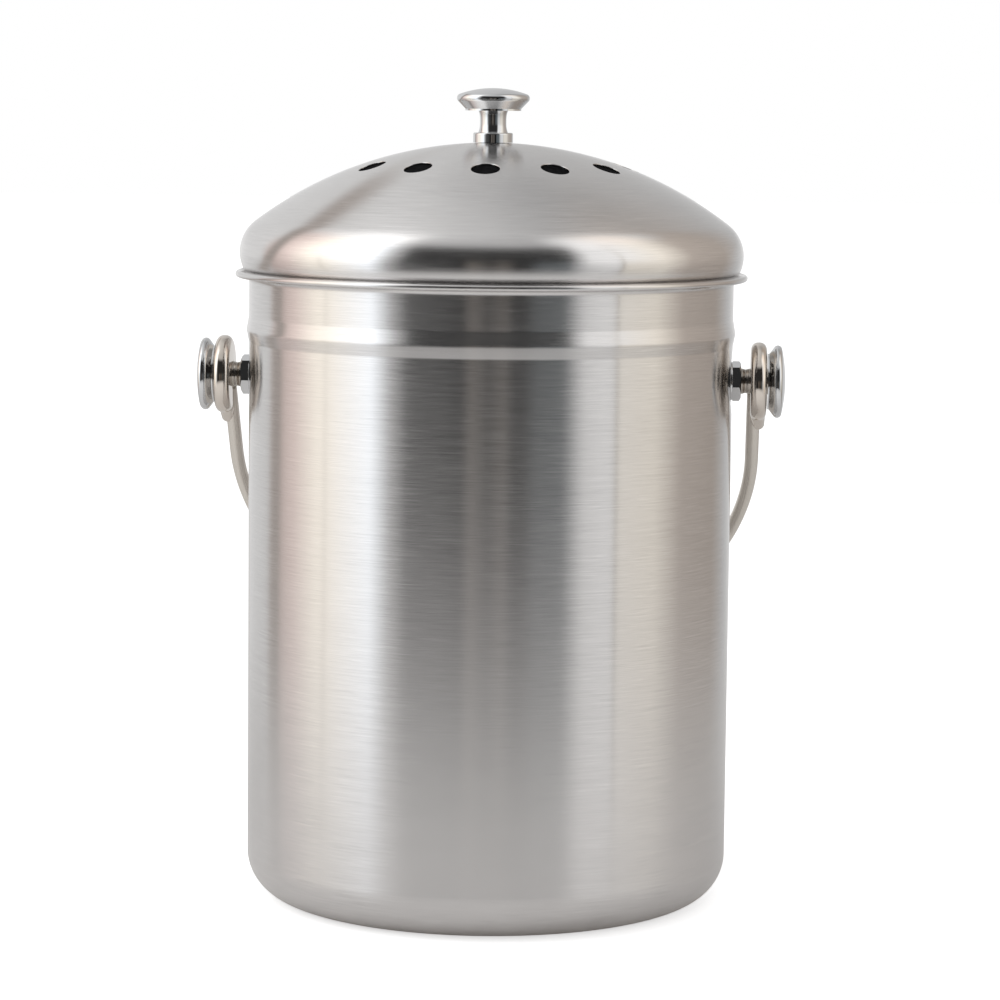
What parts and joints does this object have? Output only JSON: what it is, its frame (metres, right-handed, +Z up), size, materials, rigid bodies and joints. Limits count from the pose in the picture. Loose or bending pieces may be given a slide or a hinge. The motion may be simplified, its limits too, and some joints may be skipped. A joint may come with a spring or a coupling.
{
  "type": "compost pail",
  "caption": "Brushed steel countertop compost pail with a domed, vented lift-off lid, chrome knobs, a swing bail and charcoal filters held under the lid.",
  "frame": {"origin": "centre of the base, on the surface that the pail stands on", "axes": "+Z up; the bail's pivots lie along X; the front is towards -Y, and the bail rests at the back, +Y"},
  "size_m": [0.2112, 0.1833, 0.2908],
  "materials": {
    "brushed_body": "fine brush lines round the wall",
    "brushed_lid": "fine brush lines turned about the knob",
    "satin_wire": "satin",
    "chrome": "bright polished plating",
    "plated_steel": "plain plating",
    "tray_plastic": "fine matt grain",
    "charcoal": "open felt filled with activated charcoal"
  },
  "bodies": {
    "bucket": {"bucket_shell": "brushed_body", "left_pivot_knob": "chrome", "left_sleeve": "plated_steel", "left_lock_nut": "chrome", "left_outer_washer": "chrome", "left_inner_washer": "plated_steel", "left_cap_nut": "plated_steel", "right_pivot_knob": "chrome", "right_sleeve": "plated_steel", "right_lock_nut": "chrome", "right_outer_washer": "chrome", "right_inner_washer": "plated_steel", "right_cap_nut": "plated_steel"},
    "bail": {"bail_wire": "satin_wire", "left_bail_eye": "chrome", "right_bail_eye": "chrome"},
    "lid": {"lid_dome": "brushed_lid", "lid_skirt": "brushed_lid", "lid_knob": "chrome", "knob_collar": "chrome", "knob_washer": "plated_steel", "knob_screw": "plated_steel"},
    "filter_holder": {"filter_tray": "tray_plastic", "lower_filter": "charcoal", "upper_filter": "charcoal"}
  },
  "joints": [
    {"name": "bail_swing", "type": "hinge", "parent": "bucket", "child": "bail", "pos_m": [0, 0, 0.1875], "axis": [1, 0, 0], "range_deg": [0, 282]},
    {"name": "lid_lift", "type": "slide", "parent": "bucket", "child": "lid", "axis": [0, 0, 1], "range_m": [0, 0.13]},
    {"name": "filter_drop", "type": "slide", "parent": "lid", "child": "filter_holder", "axis": [0, 0, -1], "range_m": [0, 0.016]}
  ]
}
